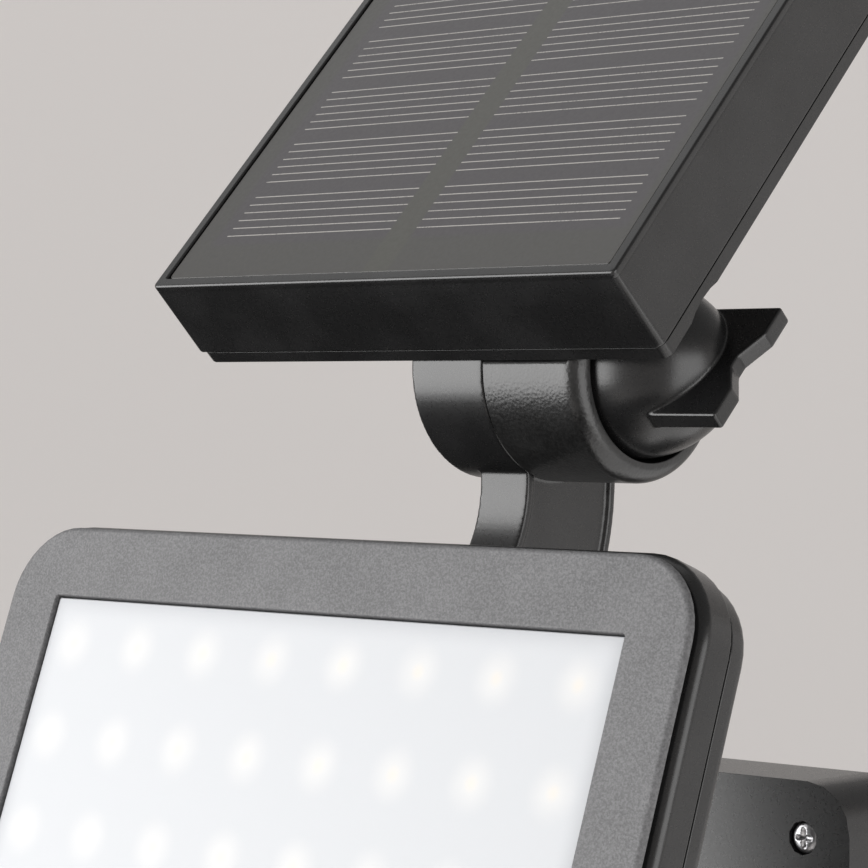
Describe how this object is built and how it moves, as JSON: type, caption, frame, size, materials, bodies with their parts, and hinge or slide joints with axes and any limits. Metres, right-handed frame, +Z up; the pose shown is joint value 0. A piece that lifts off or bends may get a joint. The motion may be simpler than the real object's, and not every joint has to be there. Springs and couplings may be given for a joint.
{
  "type": "solar flood light",
  "caption": "Solar flood light: lamp head with frosted window on a wall post, elbow arm, and a tilting solar panel clamped by a wing knob.",
  "frame": {"origin": "middle of the wall plate's rear face", "axes": "+Y into the wall, -Y out to the front, +Z up, +X to the right for someone who faces the light"},
  "size_m": [0.1668, 0.1686, 0.2699],
  "materials": {
    "satin_black_plastic": "satin black ABS with a light grain",
    "fine_grain_plastic": "dark grey ABS with a fine matt grain",
    "coarse_grain_plastic": "black ABS with a coarse leather-like grain",
    "frosted_diffuser": "frosted white polycarbonate",
    "solar_glass": "epoxy laminate over dark cells with fine silver fingers",
    "black_rubber": "matt black rubber",
    "zinc_steel": "zinc-plated steel",
    "heat_plate_aluminium": "plain sheet",
    "white_led_board": "white solder mask",
    "green_circuit_board": "green solder mask",
    "battery_wrap": "blue heat-shrink wrap",
    "milky_sensor_lens": "milky polyethylene sensor lens"
  },
  "bodies": {
    "wall": {"wall_plate": "zinc_steel", "wall_base": "satin_black_plastic", "base_screw_1": "zinc_steel", "base_screw_2": "zinc_steel", "base_screw_3": "zinc_steel", "base_screw_4": "zinc_steel", "lower_friction_ring_left": "black_rubber", "lower_friction_ring_right": "black_rubber"},
    "panel": {"panel_frame": "satin_black_plastic", "panel_seal": "black_rubber", "solar_laminate": "solar_glass", "terminal_box": "satin_black_plastic", "panel_back_cover": "satin_black_plastic", "panel_bracket": "coarse_grain_plastic", "bracket_screw_1": "zinc_steel", "bracket_screw_2": "zinc_steel", "panel_screw_1": "zinc_steel", "panel_screw_2": "zinc_steel", "panel_screw_3": "zinc_steel", "panel_screw_4": "zinc_steel"},
    "upper_knob": {"upper_wing_knob": "satin_black_plastic", "upper_nut": "zinc_steel"},
    "lower_knob": {"lower_wing_knob": "satin_black_plastic", "lower_nut": "zinc_steel"},
    "button": {"mode_button": "black_rubber"},
    "head": {"arm_screw_1": "zinc_steel", "arm_screw_2": "zinc_steel", "arm_screw_3": "zinc_steel", "arm_screw_4": "zinc_steel", "arm_seal": "black_rubber", "battery_cell_1": "battery_wrap", "battery_cell_2": "battery_wrap", "battery_holder": "satin_black_plastic", "body_ring": "satin_black_plastic", "controller_board": "green_circuit_board", "diffuser_lens": "frosted_diffuser", "elbow_arm": "satin_black_plastic", "front_bezel": "fine_grain_plastic", "heat_plate": "heat_plate_aluminium", "housing_screw_1": "zinc_steel", "housing_screw_2": "zinc_steel", "housing_screw_3": "zinc_steel", "housing_screw_4": "zinc_steel", "housing_screw_5": "zinc_steel", "housing_screw_6": "zinc_steel", "housing_seal": "black_rubber", "led_board": "white_led_board", "lens_gasket": "black_rubber", "lower_bolt": "zinc_steel", "lower_washer": "zinc_steel", "mode_switch": "zinc_steel", "motion_sensor": "zinc_steel", "rear_housing": "satin_black_plastic", "sensor_board": "green_circuit_board", "sensor_dome": "milky_sensor_lens", "upper_bolt": "zinc_steel", "upper_bolt_cap": "black_rubber", "upper_friction_ring": "black_rubber", "upper_washer": "zinc_steel"}
  },
  "joints": [
    {"name": "head_tilt", "type": "hinge", "parent": "wall", "child": "head", "pos_m": [0, -0.106, 0], "axis": [1, 0, 0], "range_deg": [-10, 45]},
    {"name": "panel_tilt", "type": "hinge", "parent": "head", "child": "panel", "pos_m": [0, -0.07932, 0.12532], "axis": [1, 0, 0], "range_deg": [-21, 43]},
    {"name": "upper_knob_turn", "type": "hinge", "parent": "head", "child": "upper_knob", "pos_m": [0.032, -0.07932, 0.12532], "axis": [1, 0, 0], "range_deg": [0, 540]},
    {"name": "lower_knob_turn", "type": "hinge", "parent": "head", "child": "lower_knob", "pos_m": [0.019, -0.106, 0], "axis": [1, 0, 0], "range_deg": [0, 540]},
    {"name": "mode_button_press", "type": "slide", "parent": "head", "child": "button", "axis": [0, 0.3387, 0.9409], "range_m": [0, 0.0008], "stiffness_N_per_m": 400, "springref_m": -0.0006}
  ]
}
